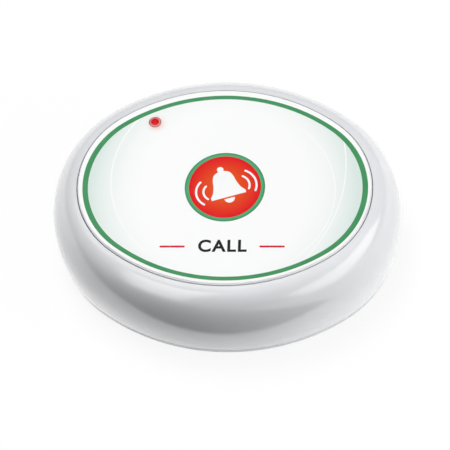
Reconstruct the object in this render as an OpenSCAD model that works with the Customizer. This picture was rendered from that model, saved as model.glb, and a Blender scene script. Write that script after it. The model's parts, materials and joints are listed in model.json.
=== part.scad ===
// Wireless nurse call button: an oval case whose whole printed face is the key.
// The plan is a four-arc oval set out on 3-4-5 triangles, so every offset of it stays parallel.
// X runs along the length, Y towards the far side as the face is read, Z up from the table.

/* [Body] */
// length of the case at its widest level
body_length = 86; // [82:0.4:92]
// width of the case at its widest level
body_width = 69.6; // [67:0.4:73]
// height from the underside of the base to the printed face
body_height = 23.2; // [22.8:0.2:28]
// height of the widest level above the underside of the base
widest_height = 10; // [8:0.5:12]
// plan distance from the key opening out to the widest level
rim_width = 6.7; // [6:0.1:7.5]
// distance the side draws in again towards the base
base_tuck = 1.2; // [0.8:0.1:1.8]
// thickness of the moulded outer wall
wall = 2; // [1.6:0.1:2.2]
// thickness of the collar that lines the key opening
collar = 2; // [1.6:0.1:2.4]
// thickness of the deck under the key
deck_thickness = 1.6; // [1.2:0.1:2]

/* [Key] */
// height of the printed face above the rim of the opening
face_proud = 0.5; // [0:0.1:0.6]
// gap between the key and its opening
key_gap = 0.2; // [0.15:0.05:0.5]
// thickness of the key
key_thickness = 2; // [1.6:0.1:2.4]
// depth of the stiffening skirt under the rim of the key
skirt_depth = 1.8; // [1.4:0.1:2.4]
// thickness of that skirt
skirt_wall = 1.4; // [1:0.1:2]
// rounding of the top edge of the key
key_edge = 0.2; // [0.1:0.1:0.8]
// thickness of the stiffening ribs under the key
key_rib = 1.2; // [1:0.1:1.6]
// height of those ribs above the foot of the skirt
rib_lift = 0.4; // [0.2:0.1:0.8]
// half length of those ribs
rib_reach = 16; // [12:0.5:16]
// distance the key goes down
key_travel = 0.5; // [0.3:0.05:0.7]
// room left under the skirt when the key is fully down
stop_room = 0.1; // [0.05:0.05:0.3]
// diameter of the pusher that works the switch
pusher_diameter = 4.5; // [4:0.1:5]
// clearance in diameter around the pusher where it passes the deck
pusher_clearance = 1.5; // [1:0.1:2]
// thickness of the printed film on the key
label_thickness = 0.25; // [0.2:0.05:0.4]
// width of the flat of the key left bare around the film
label_inset = 0.1; // [0:0.1:1]

/* [Key guides] */
// distance of the guide posts from the centre along the length
guide_x = 21; // [20:0.5:22]
// distance of the guide posts from the centre across the width
guide_y = 10; // [9:0.5:11]
// diameter of a guide post
post_diameter = 3; // [2.8:0.1:3.2]
// clearance in diameter between a post and its hole
post_clearance = 0.4; // [0.2:0.1:0.6]
// outside diameter of a return spring
spring_diameter = 5; // [4.8:0.1:5.2]
// wire diameter of a return spring
spring_wire = 0.5; // [0.4:0.05:0.5]
// number of turns of a return spring
spring_turns = 5; // [4:1:5]
// depth of the well a return spring stands in
well_depth = 3; // [2.5:0.1:3.2]
// wall and floor thickness of a spring well
well_wall = 1.2; // [1:0.1:1.4]
// clearance in diameter around a return spring in its well
well_clearance = 0.6; // [0.4:0.1:0.8]
// length of a key screw under its head
key_screw_length = 5; // [4:0.5:5]
// diameter of a key screw head, wider than the hole it bears against
key_head = 4.6; // [4.4:0.1:5]

/* [Base] */
// thickness of the base floor
floor_thickness = 2; // [1.8:0.1:2.4]
// height of the base edge that shows below the upper case
base_edge = 1.5; // [1.2:0.1:1.7]
// gap left between the base edge and the upper case
parting_gap = 0.15; // [0.1:0.05:0.3]
// thickness of the lip that locates the base in the upper case
lip_thickness = 1.6; // [1.4:0.1:1.8]
// height of that lip above the underside of the base
lip_height = 5.2; // [4.8:0.1:6]
// gap between the lip and the wall it locates in
lip_gap = 0.2; // [0.1:0.05:0.3]
// side of the square sealing cord let into the lip
seal_size = 0.9; // [0.8:0.1:1]
// height of the sealing cord above the base floor
seal_lift = 0.6; // [0.4:0.1:0.8]

/* [Feet and fixings] */
// diameter of a rubber foot
foot_diameter = 8; // [7:0.5:9]
// clearance in diameter of a foot in its recess
foot_clearance = 0.2; // [0.1:0.05:0.4]
// height a foot stands proud of the base
foot_proud = 0.8; // [0.6:0.1:1.2]
// depth a foot is let into the base
foot_sink = 0.8; // [0.6:0.1:1]
// chamfer around the sole of a foot
foot_edge = 0.4; // [0.2:0.1:0.6]
// distance of the feet from the centre along the length
foot_x = 27; // [26.5:0.5:28]
// distance of the feet from the centre across the width
foot_y = 17.5; // [17:0.5:18]
// distance of the case screws from the centre along the length
screw_x = 29; // [28.5:0.5:29.5]
// distance of the case screws from the centre across the width
screw_y = 8.5; // [8:0.5:8.5]
// diameter of a case screw
screw_diameter = 2.2; // [2:0.1:2.4]
// length of a case screw under its head
screw_length = 10; // [8:1:11]
// diameter of a case screw head
screw_head = 5; // [4.6:0.1:5]
// height of a case screw head
head_height = 1.8; // [1.4:0.1:2]
// depth a case screw head lies below the underside of the base
head_sink = 0.4; // [0.2:0.1:0.6]
// wall around a case screw head
pad_wall = 1.5; // [1.2:0.1:1.6]
// height of the pad a case screw head sits in
pad_height = 4; // [3.6:0.1:4.4]
// diameter of the boss a case screw turns into
boss_diameter = 7; // [6:0.5:7]
// clearance in diameter of a screw in the boss it turns into
pilot_clearance = 0.1; // [0.05:0.05:0.2]
// clearance in diameter of a screw in a plain hole
screw_clearance = 0.4; // [0.3:0.1:0.6]
// clearance in diameter of a screw head in its recess
head_clearance = 0.6; // [0.4:0.1:0.8]
// gap left between faces that rest on each other
touch = 0.05; // [0.02:0.01:0.08]

/* [Wall keyholes] */
// distance of the wall keyholes from the centre along the length
keyhole_x = 15; // [14:0.5:15]
// position of the keyhole entries across the width
keyhole_y = 5; // [4:0.5:6]
// diameter of a keyhole entry
keyhole_diameter = 7.5; // [7:0.1:8]
// width of a keyhole slot
keyhole_slot = 4; // [3.5:0.1:4.4]
// length of a keyhole slot from the centre of its entry
keyhole_run = 6; // [5:0.5:7]

/* [Circuit board] */
// length of the circuit board
board_length = 43; // [42:0.5:44]
// width of the circuit board
board_width = 31; // [30:0.5:32]
// position of the front edge of the circuit board
board_front = -7.5; // [-8:0.1:-7]
// thickness of the circuit board
board_thickness = 1.6; // [1.2:0.1:1.6]
// length of the cut corners at the back of the circuit board
board_corner = 4; // [3:0.5:5]
// height of the board above the base floor
standoff_height = 6.4; // [6:0.1:6.6]
// diameter of the posts that carry the board
standoff_diameter = 5; // [4.6:0.1:5]
// distance of the front board screws from the ends of the board
board_screw_inset = 3; // [2.8:0.1:3.4]
// distance of the front board screws from the front edge
board_screw_front = 5; // [4.8:0.1:5.4]
// position of the rear board screw along the length
rear_screw_x = 17; // [16.5:0.1:17.5]
// distance of the rear board screw from the back edge
rear_screw_back = 4.5; // [4.2:0.1:5]
// diameter of the board and key screws
board_screw = 1.6; // [1.4:0.1:1.8]
// diameter of a board screw head
board_head = 3.6; // [3.2:0.1:3.8]
// height of a board or key screw head
board_head_height = 1.2; // [1:0.1:1.3]
// depth a board screw goes into its post
board_screw_grip = 4; // [3:0.5:5]

/* [Switch and indicator] */
// side of the tactile switch
switch_size = 6; // [5.8:0.1:6.4]
// height of the switch from the board to the top of its plunger
switch_height = 5; // [4.8:0.1:5.2]
// height of the switch body
switch_body_height = 3.2; // [3:0.1:3.4]
// thickness of the sheet metal cover of the switch
switch_cover_height = 0.3; // [0.2:0.05:0.4]
// diameter of the switch plunger
plunger_diameter = 3.5; // [3.3:0.1:3.6]
// clearance in diameter of the plunger in the cover
plunger_clearance = 0.2; // [0.1:0.05:0.3]
// diameter of the flange that keeps the plunger in
flange_diameter = 4.4; // [4.2:0.1:4.6]
// clearance in diameter of that flange in the body
flange_clearance = 0.4; // [0.2:0.1:0.5]
// height of that flange
flange_height = 0.6; // [0.5:0.1:0.7]
// travel left in the switch when the key is on its stop
switch_spare = 0.3; // [0.2:0.05:0.4]
// spacing of the switch terminals
terminal_pitch = 4.5; // [4.3:0.1:4.8]
// width of a switch terminal
terminal_width = 0.7; // [0.6:0.05:0.8]
// height of a switch terminal on the body
terminal_height = 1.2; // [1:0.1:1.4]
// reach of a switch terminal over the board
terminal_reach = 1.4; // [1.2:0.1:1.6]
// sheet thickness of terminals and pins
pin_leaf = 0.2; // [0.15:0.05:0.25]
// distance of the indicator from the left end of the case
led_from_end = 24.6; // [24:0.1:26]
// distance of the indicator from the far side of the case
led_from_side = 17; // [16:0.1:17]
// diameter of the indicator
led_diameter = 3; // [2.8:0.1:3]
// clearance in diameter around the indicator
led_clearance = 0.3; // [0.2:0.05:0.5]
// height of the indicator with its dome
led_height = 5.3; // [5:0.1:5.6]
// height the dome stands above the printed face
led_proud = 0.2; // [0:0.05:0.4]
// width of the flange at the foot of the indicator
led_flange = 0.4; // [0.3:0.05:0.5]
// height of that flange
led_flange_height = 1; // [0.8:0.1:1.2]
// clearance in diameter around that flange where it passes the deck
led_deck_clearance = 1.4; // [1:0.1:1.6]
// wall of the spacer under the indicator
spacer_wall = 0.7; // [0.6:0.1:0.9]
// spacing of the indicator leads
lead_pitch = 2.5; // [2.4:0.02:2.54]
// side of a square lead
lead_width = 0.5; // [0.4:0.05:0.5]
// length a lead shows below the board
lead_tail = 1; // [0.6:0.1:1.4]
// diameter of a lead hole in the board
lead_hole = 1; // [0.9:0.05:1.1]
// diameter of a lead hole in the spacer
spacer_hole = 0.9; // [0.8:0.05:1]

/* [Small components] */
// position of the encoder chip along the length
chip_x = -8.5; // [-9:0.1:-8]
// position of the encoder chip across the width
chip_y = 8; // [7.5:0.1:8.5]
// length of the encoder chip
chip_length = 5; // [4.8:0.1:5.2]
// width of the encoder chip
chip_width = 4; // [3.8:0.1:4.2]
// thickness of the encoder chip
chip_height = 1.5; // [1.3:0.1:1.7]
// height of the encoder chip off the board
chip_lift = 0.1; // [0.05:0.05:0.2]
// spacing of the chip pins
pin_pitch = 1.27; // [1:0.01:1.3]
// width of a chip pin
pin_width = 0.4; // [0.3:0.05:0.5]
// height of a chip pin on the package
pin_height = 0.9; // [0.7:0.1:1]
// reach of a chip pin over the board
pin_reach = 1; // [0.8:0.1:1.1]
// position of the resonator along the length
resonator_x = 10; // [9:0.1:10.5]
// position of the resonator across the width
resonator_y = 9; // [8.5:0.1:9.5]
// diameter of the resonator can
resonator_diameter = 8; // [7.6:0.1:8.4]
// height of the resonator can
resonator_height = 3.2; // [3:0.1:3.6]
// width and thickness of the foot flange of the can
resonator_flange = 0.5; // [0.4:0.1:0.6]
// position of the capacitor along the length
capacitor_x = -9.5; // [-10:0.1:-9]
// position of the capacitor across the width
capacitor_y = 14.5; // [14.2:0.1:14.8]
// diameter of the capacitor
capacitor_diameter = 5; // [4.6:0.1:5]
// height of the capacitor
capacitor_height = 5.4; // [5:0.1:5.8]
// position of the middle chip resistors along the length
resistor_x = -9; // [-9.5:0.1:-8.5]
// spacing of the chip resistors
resistor_pitch = 3; // [2.8:0.1:3.2]
// length of a chip resistor
resistor_length = 2; // [1.8:0.1:2.2]
// width of a chip resistor
resistor_width = 1.2; // [1:0.1:1.4]
// thickness of a chip resistor
resistor_height = 0.5; // [0.4:0.05:0.6]
// position of the left end of the antenna coil
antenna_x = -6; // [-6.5:0.1:-5.5]
// position of the antenna coil across the width
antenna_y = 20; // [19.8:0.1:20.2]
// height of the coil's axis over the board
antenna_height = 3.4; // [3.2:0.1:3.6]
// length of the antenna coil
antenna_length = 17; // [16.5:0.1:17.5]
// mean diameter of the antenna coil
antenna_diameter = 4.2; // [4:0.1:4.4]
// wire diameter of the antenna coil
antenna_wire = 0.8; // [0.6:0.05:0.8]
// number of turns of the antenna coil
antenna_turns = 12; // [10:1:13]

/* [Battery] */
// diameter of the battery
cell_diameter = 10.3; // [10:0.1:10.4]
// length of the battery over its cap
cell_length = 28.5; // [27.5:0.1:28.5]
// length of the cap at the battery's positive end
cap_length = 1; // [0.8:0.1:1.2]
// diameter of that cap
cap_diameter = 5; // [4.5:0.1:5.5]
// position of the battery across the width
cell_y = -15.5; // [-15.8:0.1:-15.2]
// room around the battery in its bay
cell_room = 0.4; // [0.3:0.1:0.5]
// inside length of the battery bay
bay_length = 34; // [33.6:0.1:34.4]
// thickness of the walls of the bay
bay_wall = 1.2; // [1:0.1:1.4]
// distance of the top of the bay below the top of the board
bay_drop = 0.4; // [0.2:0.1:0.6]
// sheet thickness of the contacts
contact_thickness = 0.4; // [0.3:0.05:0.5]
// gap between a contact and the end of the bay
contact_gap = 0.1; // [0.05:0.05:0.15]
// width of a contact plate
contact_width = 8; // [7:0.5:8.5]
// width of the strip from a contact to the board
contact_strip = 3; // [2.5:0.1:3.2]
// overlap of that strip on the board
contact_overlap = 1.8; // [1.4:0.1:2]
// height of a contact plate above the frame of the bay
contact_lift = 0.3; // [0.2:0.1:0.5]
// wire diameter of the contact spring
contact_wire = 0.6; // [0.5:0.05:0.6]
// mean radius of the contact spring at the plate
contact_foot = 3.6; // [3.4:0.1:3.8]
// mean radius of the contact spring at the battery
contact_tip = 2.4; // [2.2:0.1:2.6]
// number of turns of the contact spring
contact_turns = 3.5; // [3:0.5:3.5]

/* [Battery door] */
// thickness of the battery door
door_thickness = 1.5; // [1.3:0.1:1.5]
// gap around the battery door
door_gap = 0.2; // [0.15:0.05:0.3]
// gap between the closed door and the frame above it
door_lift = 0.1; // [0.05:0.05:0.2]
// width of the ledge the long sides of the door close against
door_ledge = 1.05; // [0.9:0.05:1.2]
// width of the ledge at the ends of the door
end_ledge = 1.7; // [1.6:0.05:1.9]
// thickness of the frame around the bay above the door
frame_height = 1.6; // [1.4:0.1:1.8]
// width of that frame around the bay
frame_margin = 3.2; // [3:0.1:3.4]
// distance of the hinge tabs from the middle of the door
tab_y = 4; // [3.8:0.1:4]
// width of a hinge tab
tab_width = 4; // [3.6:0.1:4]
// reach of a hinge tab beyond the door
tab_reach = 1.7; // [1.5:0.1:1.7]
// height of a hinge tab above the outer face of the door
tab_lift = 0.85; // [0.8:0.05:0.9]
// thickness of a hinge tab
tab_thickness = 0.6; // [0.5:0.05:0.6]
// room beside and beyond a hinge tab
tab_room = 0.3; // [0.3:0.05:0.4]
// room below a hinge tab
tab_seat = 0.15; // [0.1:0.05:0.2]
// distance of the door's ribs from its middle
door_rib_y = 3; // [2.8:0.1:3.2]
// thickness of the door's ribs
door_rib = 1; // [0.8:0.1:1.2]
// height of the door's ribs above its outer face
door_rib_height = 2.6; // [2.4:0.1:2.6]
// length of the slits that free the snap tongue
slit_length = 6; // [5:0.5:7]
// width of those slits
slit_width = 0.6; // [0.5:0.1:0.8]
// diameter of the thumb scoop at the end of the door
thumb_diameter = 7; // [6:0.5:7]
// depth of that scoop
thumb_depth = 0.9; // [0.7:0.1:1]

/* [Hidden] */

$fn = 72;
arc_fn = 240;
rim_fn = 48;
small_fn = 32;
tube_sides = 6;
tube_rings = 8;
far = 200;
bite = 0.5;

// centres and radii of the oval, where the edge of the key opening is offset 0
arc_unit = (body_length - body_width) / 4;
end_centre = 3 * arc_unit;
side_centre = 4 * arc_unit;
end_radius = body_length / 2 - end_centre - rim_width;
side_radius = end_radius + 5 * arc_unit;
side_round = (widest_height * widest_height + base_tuck * base_tuck) / (2 * base_tuck);

base_z = foot_proud;
face_z = base_z + body_height;
rim_z = face_z - face_proud;
widest_z = base_z + widest_height;
floor_z = base_z + floor_thickness;
edge_z = base_z + base_edge;
shell_z = edge_z + parting_gap;
inner_wall = rim_width - wall;
lip_out = inner_wall - lip_gap;
lip_in = lip_out - lip_thickness;
seal_z = floor_z + seal_lift;
seal_in = inner_wall - seal_size;

key_z = face_z - label_thickness;
key_under = key_z - key_thickness;
skirt_z = key_under - skirt_depth;
deck_z = skirt_z - key_travel - stop_room;
deck_under = deck_z - deck_thickness;
well_z = deck_z - well_depth;
well_under = well_z - well_wall;
well_inside = spring_diameter + well_clearance;
post_end = well_under - touch;

board_z = floor_z + standoff_height;
board_top = board_z + board_thickness;
board_back = board_front + board_width;
plunger_top = board_top + switch_height;
cover_z = board_top + switch_body_height;
led_x = led_from_end - body_length / 2;
led_y = body_width / 2 - led_from_side;
led_base = face_z + led_proud - led_height;
screw_side = board_length / 2 - board_screw_inset;
screw_front = board_front + board_screw_front;
rear_screw_y = board_back - rear_screw_back;
board_screw_at = [[-screw_side, screw_front], [screw_side, screw_front], [rear_screw_x, rear_screw_y]];

boss_z = base_z + pad_height + touch;
head_top = base_z + head_sink + head_height;
frame_z = base_z + door_thickness + door_lift;
frame_top = frame_z + frame_height;
bay_end = bay_length / 2;
bay_half = cell_diameter / 2 + cell_room;
bay_top = board_top - bay_drop;
cell_z = floor_z + cell_diameter / 2;
contact_x = bay_end - contact_gap - contact_thickness;
can_length = cell_length - cap_length;
can_x = contact_x - touch - cell_length;
door_half_x = bay_end + end_ledge - door_gap;
door_half_y = bay_half + door_ledge - door_gap;

/* Plan of the case */

module four() {
  for (x = [-1, 1], y = [-1, 1]) {
    translate([x * $at[0], y * $at[1], 0]) children();
  }
}

// a section drawn from the edge of the key opening, turned about an arc's centre and filled to its axis
module turned(radius) {
  rotate_extrude() intersection() {
    translate([radius, 0]) children();
    square(far);
  }
}

// carries a section around the oval: two end rounds and the lens of the side arcs between the joints
module around() {
  for (side = [-1, 1]) {
    translate([side * end_centre, 0, 0]) turned(end_radius) children();
  }
  intersection() {
    translate([0, -side_centre, 0]) turned(side_radius) children();
    translate([0, side_centre, 0]) turned(side_radius) children();
    linear_extrude(far, center = true) arc_joints();
  }
}

// plan between the four joints, each on the 3-4-5 line through the centres of its two arcs
module arc_joints() {
  reach = body_length / 4;
  x = end_centre + 3 * reach;
  y = 4 * reach;
  polygon([[end_centre, 0], [x, y], [-x, y], [-end_centre, 0], [-x, -y], [x, -y]]);
}

// flat oval, offset from the edge of the key opening
module oval(offset) {
  radius = end_radius + offset;
  for (side = [-1, 1]) {
    translate([side * end_centre, 0]) circle(r = radius);
  }
  intersection() {
    translate([0, -side_centre]) circle(r = radius + 5 * arc_unit);
    translate([0, side_centre]) circle(r = radius + 5 * arc_unit);
    square([2 * (end_centre + radius * 3 / 5), far], center = true);
  }
}

module oval_plate(offset, z, height) {
  translate([0, 0, z]) linear_extrude(height) oval(offset);
}

module oval_ring(inner, outer, z, height) {
  translate([0, 0, z]) linear_extrude(height) difference() {
    oval(outer);
    oval(inner);
  }
}

module box(x, y, z) {
  translate([x[0], y[0], z[0]]) cube([x[1] - x[0], y[1] - y[0], z[1] - z[0]]);
}

module pan_screw(head, height, shank, length) {
  cylinder(d = shank, h = length, $fn = small_fn);
  translate([0, 0, -height]) cylinder(d = head, h = height, $fn = small_fn);
}

/* Coils */

function unit_vector(v) = v / norm(v);

function tube_points(path, axis, radius) = [
  for (i = [0 : len(path) - 1])
    let (along = unit_vector(path[min(i + 1, len(path) - 1)] - path[max(i - 1, 0)]))
    let (side = unit_vector(cross(axis, along)))
    let (up = cross(along, side))
    for (k = [0 : tube_sides - 1])
      path[i] + radius * (cos(360 * k / tube_sides) * side + sin(360 * k / tube_sides) * up)
];

// a wire along a path that never runs parallel to the given axis
module wire(path, axis, diameter) {
  last = len(path) - 1;
  start = last * tube_sides;
  polyhedron(
    points = tube_points(path, axis, diameter / 2),
    faces = concat(
      [for (i = [0 : last - 1], k = [0 : tube_sides - 1])
        let (n = (k + 1) % tube_sides, a = i * tube_sides)
        [a + k, a + tube_sides + k, a + n]],
      [for (i = [0 : last - 1], k = [0 : tube_sides - 1])
        let (n = (k + 1) % tube_sides, a = i * tube_sides)
        [a + n, a + tube_sides + k, a + tube_sides + n]],
      [for (k = [1 : tube_sides - 2]) [0, k, k + 1]],
      [for (k = [1 : tube_sides - 2]) [start, start + k + 1, start + k]]
    )
  );
}

// a helix about Z whose radius may change from start to end
function helix(r0, r1, z0, z1, turns) = [
  for (i = [0 : turns * tube_rings])
    let (t = i / (turns * tube_rings), angle = 360 * i / tube_rings, r = r0 + (r1 - r0) * t)
    [r * cos(angle), r * sin(angle), z0 + (z1 - z0) * t]
];

function turn_gap(path, diameter) =
  min([for (i = [0 : len(path) - 1 - tube_rings]) norm(path[i + tube_rings] - path[i])]) - diameter;

/* Case */

// the rim above the widest level, a quarter oval filled to the axis
module rim_section(inset) {
  width = rim_width - inset;
  height = rim_z - widest_z - inset;
  translate([0, widest_z]) {
    intersection() {
      scale([1, height / width]) circle(r = width, $fn = rim_fn);
      square([width + 1, height + 1]);
    }
    translate([-far, 0]) square([far, height]);
  }
}

// the drawn-in side between two heights below the widest level, filled to the axis
module side_section(low, high) {
  intersection() {
    translate([rim_width - side_round, widest_z]) circle(r = side_round, $fn = arc_fn);
    translate([0, low]) square([far, high - low]);
  }
  translate([-far, low]) square([far, high - low]);
}

module case_section() {
  rim_section(0);
  side_section(shell_z, widest_z);
}

// room inside the wall, which stands upright below the widest level
module room_section() {
  rim_section(wall);
  translate([-far, base_z]) square([far + inner_wall, widest_z - base_z]);
}

module top_shell() {
  color("white") difference() {
    union() {
      difference() {
        around() case_section();
        difference() {
          around() room_section();
          oval_plate(collar, deck_under, far);
        }
        oval_plate(0, deck_z, far);
      }
      four($at = [screw_x, screw_y])
        translate([0, 0, boss_z]) cylinder(d = boss_diameter, h = deck_under + bite - boss_z);
      four($at = [guide_x, guide_y])
        translate([0, 0, well_under])
          cylinder(d = well_inside + 2 * well_wall, h = deck_under + bite - well_under);
    }
    four($at = [screw_x, screw_y])
      cylinder(d = screw_diameter + pilot_clearance, h = head_top + screw_length + bite, $fn = small_fn);
    four($at = [guide_x, guide_y]) {
      translate([0, 0, well_z]) cylinder(d = well_inside, h = far);
      cylinder(d = post_diameter + post_clearance, h = far, $fn = small_fn);
    }
    translate([led_x, led_y, 0])
      cylinder(d = led_diameter + 2 * led_flange + led_deck_clearance, h = far, $fn = small_fn);
    cylinder(d = pusher_diameter + pusher_clearance, h = far);
  }
}

module keyhole() {
  translate([keyhole_x, keyhole_y, 0]) {
    cylinder(d = keyhole_diameter, h = far);
    translate([0, keyhole_run, 0]) cylinder(d = keyhole_slot, h = far, $fn = small_fn);
    box([-keyhole_slot / 2, keyhole_slot / 2], [0, keyhole_run], [0, far]);
  }
}

// swing room of the hinge tabs, from just below them up through the frame of the bay
module tab_slots() {
  for (side = [-1, 1]) {
    translate([0, side * tab_y, 0])
      box([bay_end - bay_wall, door_half_x + tab_reach + tab_room],
          [-tab_width / 2 - tab_room, tab_width / 2 + tab_room],
          [base_z + tab_lift - tab_seat, frame_top + tab_reach]);
  }
}

// frame and walls of the battery bay over the floor
module bay_walls() {
  box([-bay_end - frame_margin, bay_end + frame_margin],
      [-bay_half - frame_margin, bay_half + frame_margin], [frame_z, frame_top]);
  box([-bay_end - bay_wall, bay_end + bay_wall],
      [-bay_half - bay_wall, bay_half + bay_wall], [frame_z, bay_top]);
}

// openings of the battery bay: the bay itself, the door, the hinge tabs and the thumb scoop
module bay_openings() {
  box([-bay_end, bay_end], [-bay_half, bay_half], [0, far]);
  box([-door_half_x - door_gap, door_half_x + door_gap], [-door_half_y - door_gap, door_half_y + door_gap],
      [0, frame_z]);
  tab_slots();
  translate([-door_half_x, 0, 0]) cylinder(d = thumb_diameter, h = base_z + thumb_depth);
}

module base_shell() {
  color("whitesmoke") difference() {
    union() {
      around() side_section(base_z, edge_z);
      oval_plate(lip_out, base_z, floor_thickness);
      difference() {
        oval_ring(lip_in, lip_out, base_z, lip_height);
        oval_ring(seal_in, rim_width, seal_z - touch, seal_size + 2 * touch);
      }
      translate([0, cell_y, 0]) bay_walls();
      four($at = [screw_x, screw_y])
        translate([0, 0, base_z]) cylinder(d = screw_head + 2 * pad_wall, h = pad_height);
      for (at = board_screw_at) {
        translate([at[0], at[1], base_z]) cylinder(d = standoff_diameter, h = board_z - base_z);
      }
    }
    translate([0, cell_y, 0]) bay_openings();
    four($at = [screw_x, screw_y]) {
      cylinder(d = screw_head + head_clearance, h = head_top, $fn = small_fn);
      cylinder(d = screw_diameter + screw_clearance, h = far, $fn = small_fn);
    }
    four($at = [foot_x, foot_y]) cylinder(d = foot_diameter + foot_clearance, h = base_z + foot_sink);
    for (at = board_screw_at) {
      translate([at[0], at[1], floor_z]) cylinder(d = board_screw + pilot_clearance, h = far, $fn = small_fn);
    }
    keyhole();
    mirror([1, 0, 0]) keyhole();
  }
}

module case_seal() {
  color("lightgray") oval_ring(seal_in, inner_wall - touch, seal_z, seal_size);
}

module case_screws() {
  color("silver") four($at = [screw_x, screw_y])
    translate([0, 0, head_top]) pan_screw(screw_head, head_height, screw_diameter, screw_length);
}

module rubber_feet() {
  radius = foot_diameter / 2;
  height = foot_proud + foot_sink;
  color("dimgray") four($at = [foot_x, foot_y])
    rotate_extrude()
      polygon([[0, 0], [radius - foot_edge, 0], [radius, foot_edge], [radius, height], [0, height]]);
}

/* Key */

// the key with its rounded edge, filled to the axis
module key_section() {
  translate([-far, skirt_z]) square([far - key_gap, key_z - key_edge - skirt_z]);
  translate([-far, skirt_z]) square([far - key_gap - key_edge, key_z - skirt_z]);
  translate([-key_gap - key_edge, key_z - key_edge]) circle(r = key_edge, $fn = small_fn);
}

module led_hole() {
  translate([led_x, led_y, 0]) cylinder(d = led_diameter + led_clearance, h = far, $fn = small_fn);
}

module key_plate() {
  rib_z = [skirt_z + rib_lift, key_under + bite];
  color("white") difference() {
    union() {
      difference() {
        around() key_section();
        oval_plate(-key_gap - skirt_wall, 0, key_under);
      }
      four($at = [guide_x, guide_y])
        translate([0, 0, post_end])
          cylinder(d = post_diameter, h = key_under + bite - post_end, $fn = small_fn);
      translate([0, 0, plunger_top + touch])
        cylinder(d = pusher_diameter, h = key_under + bite - plunger_top - touch, $fn = small_fn);
      box([-rib_reach, rib_reach], [-key_rib / 2, key_rib / 2], rib_z);
      box([-key_rib / 2, key_rib / 2], [-rib_reach, rib_reach], rib_z);
    }
    four($at = [guide_x, guide_y])
      cylinder(d = board_screw + pilot_clearance, h = post_end + key_screw_length + bite, $fn = small_fn);
    led_hole();
  }
}

module face_label() {
  color("mintcream") difference() {
    oval_plate(-key_gap - key_edge - label_inset, key_z, label_thickness);
    led_hole();
  }
}

module key_screws() {
  color("silver") four($at = [guide_x, guide_y])
    translate([0, 0, post_end]) pan_screw(key_head, board_head_height, board_screw, key_screw_length);
}

module return_springs() {
  mean = (spring_diameter - spring_wire) / 2;
  low = well_z + spring_wire / 2 + touch;
  high = key_under - spring_wire / 2 - touch;
  path = helix(mean, mean, low, high, spring_turns);
  echo(return_spring_gap = turn_gap(path, spring_wire));
  color("lightsteelblue") four($at = [guide_x, guide_y]) wire(path, [0, 0, 1], spring_wire);
}

/* Circuit board */

module circuit_board() {
  half = board_length / 2;
  color("seagreen") difference() {
    translate([0, 0, board_z]) linear_extrude(board_thickness)
      polygon([[-half, board_front], [half, board_front], [half, board_back - board_corner],
               [half - board_corner, board_back], [board_corner - half, board_back],
               [-half, board_back - board_corner]]);
    for (at = board_screw_at) {
      translate([at[0], at[1], 0]) cylinder(d = board_screw + screw_clearance, h = far, $fn = small_fn);
    }
    for (side = [-1, 1]) {
      translate([led_x + side * lead_pitch / 2, led_y, 0]) cylinder(d = lead_hole, h = far, $fn = small_fn);
    }
  }
}

module board_screws() {
  color("silver") for (at = board_screw_at) {
    translate([at[0], at[1], board_top]) mirror([0, 0, 1])
      pan_screw(board_head, board_head_height, board_screw, board_thickness + board_screw_grip);
  }
}

/* Switch and indicator */

module switch_body() {
  half = switch_size / 2;
  well = key_travel + flange_height + switch_spare;
  color("black") difference() {
    box([-half, half], [-half, half], [board_top, cover_z]);
    translate([0, 0, cover_z - well]) cylinder(d = flange_diameter + flange_clearance, h = far);
  }
}

module switch_cover() {
  half = switch_size / 2;
  color("lightgray") difference() {
    box([-half, half], [-half, half], [cover_z, cover_z + switch_cover_height]);
    cylinder(d = plunger_diameter + plunger_clearance, h = far, $fn = small_fn);
  }
}

module switch_plunger() {
  low = cover_z - touch - flange_height;
  color("ivory") translate([0, 0, low]) {
    cylinder(d = plunger_diameter, h = plunger_top - low, $fn = small_fn);
    cylinder(d = flange_diameter, h = flange_height, $fn = small_fn);
  }
}

// one flat pin that stands off a package and lands on the board
module gull_pin(width, height, reach) {
  box([-width / 2, width / 2], [0, pin_leaf], [board_top, board_top + height]);
  box([-width / 2, width / 2], [0, reach], [board_top, board_top + pin_leaf]);
}

module switch_terminals() {
  color("silver") for (side = [-1, 1], turn = [0, 180]) {
    rotate(turn) translate([side * terminal_pitch / 2, switch_size / 2, 0])
      gull_pin(terminal_width, terminal_height, terminal_reach);
  }
}

module indicator_led() {
  radius = led_diameter / 2;
  color("red") translate([led_x, led_y, led_base]) rotate_extrude() intersection() {
    union() {
      square([radius + led_flange, led_flange_height]);
      square([radius, led_height - radius]);
      translate([0, led_height - radius]) circle(r = radius, $fn = small_fn);
    }
    square([radius + 1, led_height + 1]);
  }
}

module led_spacer() {
  color("gainsboro") difference() {
    translate([led_x, led_y, board_top])
      cylinder(d = led_diameter + 2 * spacer_wall, h = led_base - board_top, $fn = small_fn);
    for (side = [-1, 1]) {
      translate([led_x + side * lead_pitch / 2, led_y, 0]) cylinder(d = spacer_hole, h = far, $fn = small_fn);
    }
  }
}

module led_leads() {
  half = lead_width / 2;
  color("silver") for (side = [-1, 1]) {
    translate([led_x + side * lead_pitch / 2, led_y, 0])
      box([-half, half], [-half, half], [board_z - lead_tail, led_base]);
  }
}

/* Small components */

module encoder_chip() {
  low = board_top + chip_lift;
  color("black") translate([chip_x, chip_y, 0])
    box([-chip_length / 2, chip_length / 2], [-chip_width / 2, chip_width / 2], [low, low + chip_height]);
}

module chip_pins() {
  color("silver") translate([chip_x, chip_y, 0]) for (i = [-1.5 : 1 : 1.5], turn = [0, 180]) {
    rotate(turn) translate([i * pin_pitch, chip_width / 2, 0]) gull_pin(pin_width, pin_height, pin_reach);
  }
}

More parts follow.
